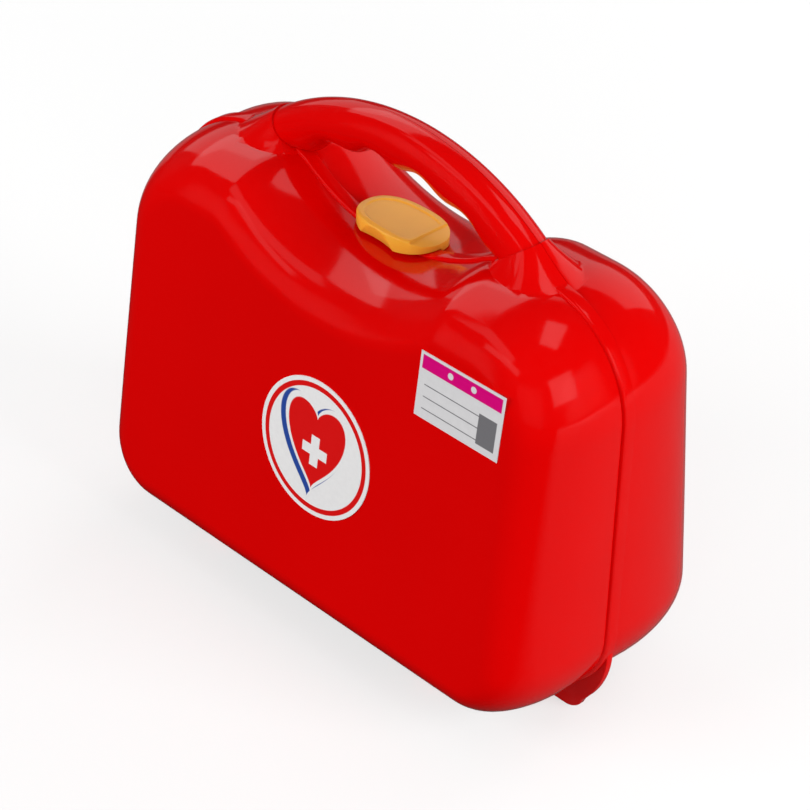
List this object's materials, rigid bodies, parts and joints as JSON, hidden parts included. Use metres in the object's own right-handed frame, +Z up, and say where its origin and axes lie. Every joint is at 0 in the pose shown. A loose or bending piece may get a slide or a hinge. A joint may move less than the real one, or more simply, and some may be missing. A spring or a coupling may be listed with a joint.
{
  "type": "toy doctor case",
  "caption": "Moulded toy doctor case: two hinged half shells, arched hand grip, slide catch in the dip below it, two front stickers.",
  "frame": {"origin": "middle of the whole case's footprint, on the surface that its feet stand on; the parting plane of the shells is 4.27 mm in front of it", "axes": "+X along the width to the right as seen from the front, the front face looks along -Y, +Z up"},
  "size_m": [0.2598, 0.1218, 0.2247],
  "materials": {
    "shell_red": "glossy",
    "catch_yellow": "satin",
    "steel": "satin",
    "sticker": "satin"
  },
  "bodies": {
    "rear": {"rear_shell": "shell_red", "hinge_pin_left": "steel", "hinge_pin_right": "steel"},
    "front": {"front_shell": "shell_red", "front_sticker": "sticker", "info_label": "sticker"},
    "catch": {"slide_catch": "catch_yellow", "catch_plate": "catch_yellow", "catch_screw": "steel"}
  },
  "joints": [
    {"name": "lid_hinge", "type": "hinge", "parent": "rear", "child": "front", "pos_m": [0, -0.00427, 0.0036], "axis": [1, 0, 0], "range_deg": [0, 120]},
    {"name": "catch_slide", "type": "hinge", "parent": "rear", "child": "catch", "pos_m": [0, -0.00427, 0.26232], "axis": [0, -1, 0], "range_deg": [0, 6.02]}
  ]
}
